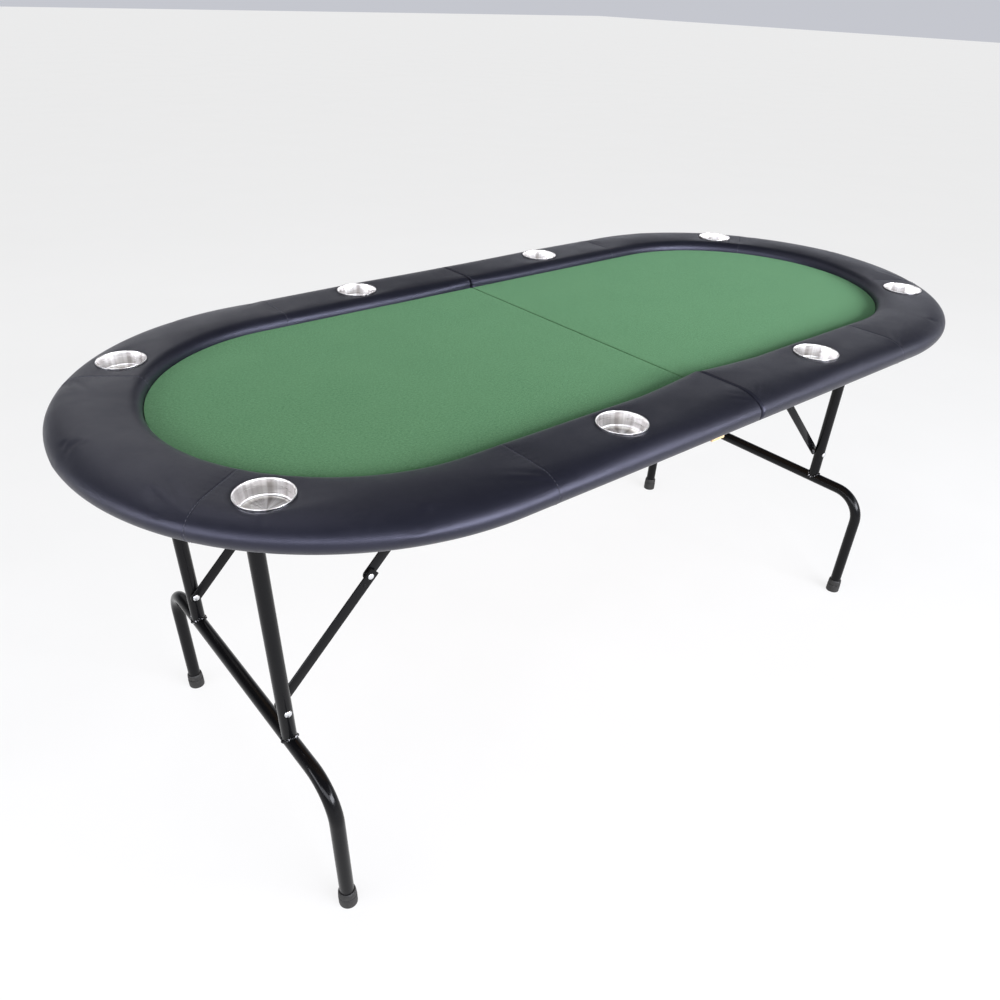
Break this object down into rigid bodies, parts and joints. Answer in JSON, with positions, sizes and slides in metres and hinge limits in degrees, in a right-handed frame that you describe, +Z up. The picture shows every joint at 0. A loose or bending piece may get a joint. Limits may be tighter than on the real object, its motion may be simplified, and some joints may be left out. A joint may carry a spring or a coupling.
{
  "type": "poker table",
  "caption": "Folding poker table with a stadium-shaped cloth top, padded rail, recessed cup holders and two braced tubular steel folding leg frames.",
  "frame": {"origin": "on the floor under the middle of the table", "axes": "+X along the length, +Y across the width to the far side, +Z up"},
  "size_m": [1.83, 0.874, 0.7612],
  "materials": {
    "black_vinyl": "padded charcoal-black vinyl with a fine leather grain",
    "green_cloth": "short-napped green playing cloth",
    "foam": "thin closed-cell foam underlay",
    "plywood": "raw plywood",
    "pine": "light sawn pine",
    "stainless": "bright drawn stainless steel",
    "black_steel": "gloss black enamel on steel",
    "rubber": "black moulded rubber",
    "zinc_steel": "bright zinc-plated steel"
  },
  "bodies": {
    "left_half": {"hinge_pins": "zinc_steel", "base_board_left": "plywood", "deck_board_left": "plywood", "deck_foam_left": "foam", "playing_cloth_left": "green_cloth", "rail_frame_left": "plywood", "rail_pad_left": "black_vinyl", "centre_batten_left": "pine", "hinge_leaves_left": "zinc_steel", "leg_brackets_left": "black_steel", "leg_pivot_bolts_left": "zinc_steel", "brace_anchors_left": "black_steel", "anchor_rivets_left": "zinc_steel", "rail_screws_left": "zinc_steel", "bracket_screws_left": "zinc_steel", "hinge_screws_left": "zinc_steel", "cup_holder_left_inner_near": "stainless", "cup_holder_left_inner_far": "stainless", "cup_holder_left_end_near": "stainless", "cup_holder_left_end_far": "stainless"},
    "right_half": {"base_board_right": "plywood", "deck_board_right": "plywood", "deck_foam_right": "foam", "playing_cloth_right": "green_cloth", "rail_frame_right": "plywood", "rail_pad_right": "black_vinyl", "centre_batten_right": "pine", "hinge_leaves_right": "zinc_steel", "leg_brackets_right": "black_steel", "leg_pivot_bolts_right": "zinc_steel", "brace_anchors_right": "black_steel", "anchor_rivets_right": "zinc_steel", "rail_screws_right": "zinc_steel", "bracket_screws_right": "zinc_steel", "hinge_screws_right": "zinc_steel", "cup_holder_right_inner_near": "stainless", "cup_holder_right_inner_far": "stainless", "cup_holder_right_end_near": "stainless", "cup_holder_right_end_far": "stainless"},
    "left_leg": {"leg_tube_left": "black_steel", "leg_uprights_left": "black_steel", "rubber_feet_left": "rubber", "brace_rivets_left": "zinc_steel"},
    "left_near_lower_link": {"lower_link_left_near": "black_steel", "brace_joint_rivet_left_near": "zinc_steel"},
    "left_near_upper_link": {"upper_link_left_near": "black_steel"},
    "left_far_lower_link": {"lower_link_left_far": "black_steel", "brace_joint_rivet_left_far": "zinc_steel"},
    "left_far_upper_link": {"upper_link_left_far": "black_steel"},
    "right_leg": {"leg_tube_right": "black_steel", "leg_uprights_right": "black_steel", "rubber_feet_right": "rubber", "brace_rivets_right": "zinc_steel"},
    "right_near_lower_link": {"lower_link_right_near": "black_steel", "brace_joint_rivet_right_near": "zinc_steel"},
    "right_near_upper_link": {"upper_link_right_near": "black_steel"},
    "right_far_lower_link": {"lower_link_right_far": "black_steel", "brace_joint_rivet_right_far": "zinc_steel"},
    "right_far_upper_link": {"upper_link_right_far": "black_steel"}
  },
  "joints": [
    {"name": "centre_fold", "type": "hinge", "parent": "left_half", "child": "right_half", "pos_m": [0, 0, 0.6663], "axis": [0, 1, 0], "range_deg": [0, 85]},
    {"name": "left_leg_fold", "type": "hinge", "parent": "left_half", "child": "left_leg", "pos_m": [-0.73385, 0, 0.682], "axis": [0, -1, 0], "range_deg": [0, 88.12]},
    {"name": "left_near_lower_link_turn", "type": "hinge", "parent": "left_leg", "child": "left_near_lower_link", "pos_m": [-0.72238, -0.1645, 0.332], "axis": [0, -1, 0], "range_deg": [0, 47.21]},
    {"name": "left_near_upper_link_turn", "type": "hinge", "parent": "left_half", "child": "left_near_upper_link", "pos_m": [-0.3686, -0.1577, 0.682], "axis": [0, -1, 0], "range_deg": [-44.71, 0]},
    {"name": "left_far_lower_link_turn", "type": "hinge", "parent": "left_leg", "child": "left_far_lower_link", "pos_m": [-0.72238, 0.1645, 0.332], "axis": [0, -1, 0], "range_deg": [0, 47.21]},
    {"name": "left_far_upper_link_turn", "type": "hinge", "parent": "left_half", "child": "left_far_upper_link", "pos_m": [-0.3686, 0.1577, 0.682], "axis": [0, -1, 0], "range_deg": [-44.71, 0]},
    {"name": "right_leg_fold", "type": "hinge", "parent": "right_half", "child": "right_leg", "pos_m": [0.73385, 0, 0.682], "axis": [0, 1, 0], "range_deg": [0, 88.12]},
    {"name": "right_near_lower_link_turn", "type": "hinge", "parent": "right_leg", "child": "right_near_lower_link", "pos_m": [0.72238, -0.1645, 0.332], "axis": [0, 1, 0], "range_deg": [0, 47.21]},
    {"name": "right_near_upper_link_turn", "type": "hinge", "parent": "right_half", "child": "right_near_upper_link", "pos_m": [0.3686, -0.1577, 0.682], "axis": [0, 1, 0], "range_deg": [-44.71, 0]},
    {"name": "right_far_lower_link_turn", "type": "hinge", "parent": "right_leg", "child": "right_far_lower_link", "pos_m": [0.72238, 0.1645, 0.332], "axis": [0, 1, 0], "range_deg": [0, 47.21]},
    {"name": "right_far_upper_link_turn", "type": "hinge", "parent": "right_half", "child": "right_far_upper_link", "pos_m": [0.3686, 0.1577, 0.682], "axis": [0, 1, 0], "range_deg": [-44.71, 0]}
  ],
  "couplings": [
    {"joint": "left_near_lower_link_turn", "follows": "left_leg_fold", "ratio": 0.53544},
    {"joint": "left_near_upper_link_turn", "follows": "left_leg_fold", "ratio": -0.50716},
    {"joint": "left_far_lower_link_turn", "follows": "left_leg_fold", "ratio": 0.53544},
    {"joint": "left_far_upper_link_turn", "follows": "left_leg_fold", "ratio": -0.50716},
    {"joint": "right_near_lower_link_turn", "follows": "right_leg_fold", "ratio": 0.53544},
    {"joint": "right_near_upper_link_turn", "follows": "right_leg_fold", "ratio": -0.50716},
    {"joint": "right_far_lower_link_turn", "follows": "right_leg_fold", "ratio": 0.53544},
    {"joint": "right_far_upper_link_turn", "follows": "right_leg_fold", "ratio": -0.50716}
  ]
}
